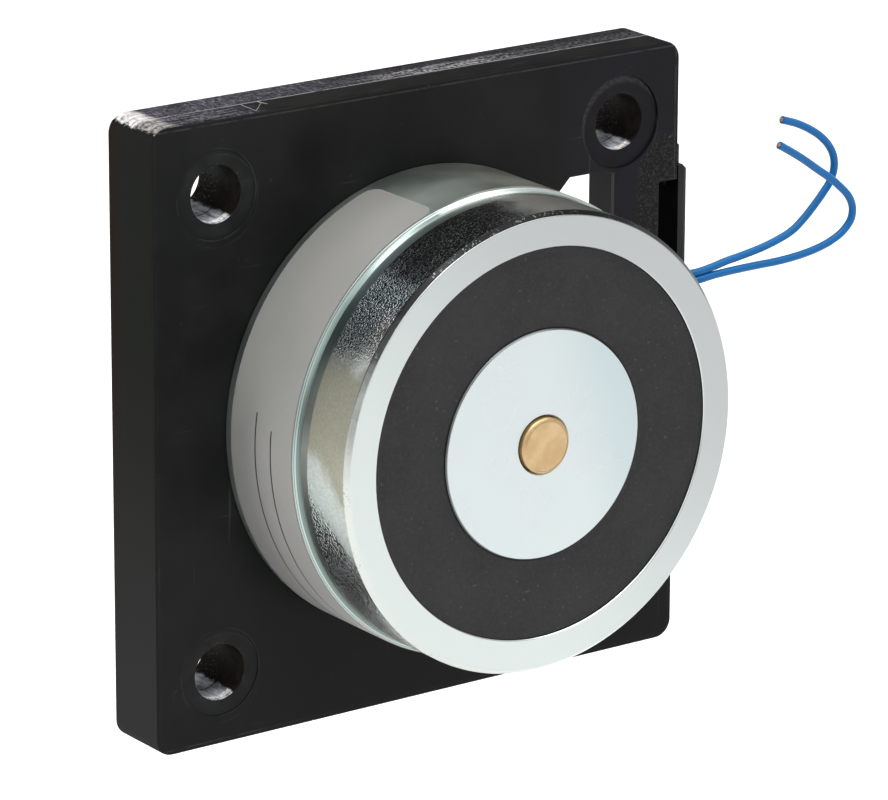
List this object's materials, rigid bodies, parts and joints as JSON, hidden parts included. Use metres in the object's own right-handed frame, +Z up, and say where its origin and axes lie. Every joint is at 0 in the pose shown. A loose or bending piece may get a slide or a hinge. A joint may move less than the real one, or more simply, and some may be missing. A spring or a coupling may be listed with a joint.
{
  "type": "holding electromagnet",
  "caption": "Round pot electromagnet with a sprung brass ejector pin, on a square moulded wall plate with corner holes, side cable slot and short flying leads.",
  "frame": {"origin": "centre of the mounting plate's back face, midway between the four corner holes", "axes": "+Y points into the wall, so the holding face looks along -Y; +Z is up; +X is towards the side with the cable slot"},
  "size_m": [0.1108, 0.0377, 0.085],
  "materials": {
    "black_plastic": "moulded, satin, lightly scratched",
    "cover_plastic": "moulded, satin",
    "zinc_steel": "turned and zinc plated",
    "pole_steel": "faced and zinc plated",
    "fibre": "vulcanised fibre",
    "nylon": "moulded, natural",
    "copper": "enamelled copper wire",
    "tape": "polyester tape",
    "resin": "cast resin, matt",
    "brass": "turned",
    "spring_steel": "drawn wire",
    "dark_steel": "blackened",
    "screw_steel": "zinc plated",
    "rubber": "moulded",
    "sleeve": "woven, varnished",
    "solder": "solder",
    "lead_insulation": "smooth insulation",
    "conductor": "cut copper",
    "foil": "matt silver foil with thin ruled lines"
  },
  "bodies": {
    "magnet": {"mounting_plate": "black_plastic", "side_cover": "cover_plastic", "pot_shell": "zinc_steel", "pole_core": "pole_steel", "base_insulator": "fibre", "coil_bobbin": "nylon", "coil_winding": "copper", "winding_tape": "tape", "potting_ring": "resin", "ejector_spring": "spring_steel", "spring_plug": "dark_steel", "fixing_screws": "screw_steel", "lock_washers": "screw_steel", "flat_washers": "screw_steel", "lead_grommet": "rubber", "splice_sleeves": "sleeve", "solder_joints": "solder", "inner_leads": "lead_insulation", "lead_upper": "lead_insulation", "lead_lower": "lead_insulation", "bare_ends": "conductor", "label": "foil"},
    "ejector": {"ejector_pin": "brass"}
  },
  "joints": [
    {"name": "ejector_travel", "type": "slide", "parent": "magnet", "child": "ejector", "axis": [0, 1, 0], "range_m": [0, 0.00075], "stiffness_N_per_m": 3000, "springref_m": -0.004, "deforming": ["ejector_spring"]}
  ]
}
